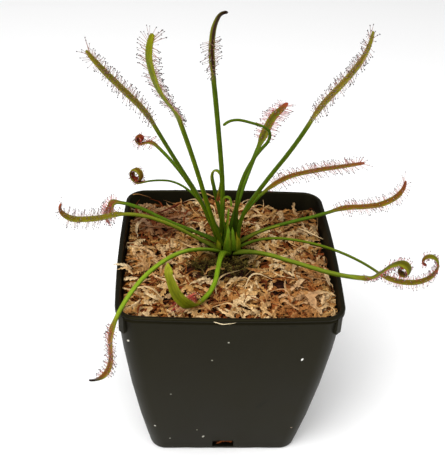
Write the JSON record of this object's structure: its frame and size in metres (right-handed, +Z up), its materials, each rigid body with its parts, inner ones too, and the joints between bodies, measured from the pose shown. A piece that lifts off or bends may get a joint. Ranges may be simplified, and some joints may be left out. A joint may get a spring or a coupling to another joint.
{
  "type": "potted cape sundew",
  "caption": "Cape sundew with sticky, red-haired strap leaves, some curled at the tip, growing from dried sphagnum moss in a small square black plastic nursery pot.",
  "frame": {"origin": "centre of the pot's flat underside, where it stands", "axes": "+Z up, +X to the right and +Y to the back of the pot as the picture shows it"},
  "size_m": [0.1336, 0.0915, 0.1617],
  "materials": {
    "pot_plastic": "moulded olive-black polypropylene with a dull sheen",
    "dried_moss": "dry long-fibre sphagnum, straw to tan",
    "green_moss": "living moss, olive green",
    "leaf": "living leaf: bright green stalk, olive to red-brown sticky blade",
    "tentacle": "living hair: red stalk with a dark red gland in a clear drop"
  },
  "bodies": {
    "root": {"nursery_pot": "pot_plastic", "sphagnum_bed": "dried_moss", "live_moss": "green_moss", "crown_stem": "leaf", "leaf_far_left": "leaf", "leaf_upper_left": "leaf", "leaf_tall_centre": "leaf", "leaf_bent_bare": "leaf", "leaf_fringed_back": "leaf", "leaf_upper_right": "leaf", "leaf_back_right": "leaf", "leaf_right": "leaf", "leaf_hooked_right": "leaf", "leaf_spiral_right": "leaf", "leaf_front_folded": "leaf", "leaf_over_rim": "leaf", "leaf_left_folded": "leaf", "leaf_left_low": "leaf", "leaf_snail": "leaf", "leaf_knob": "leaf", "leaf_young_loop": "leaf", "leaf_bud_loop": "leaf", "leaf_stub": "leaf"}
  },
  "joints": []
}
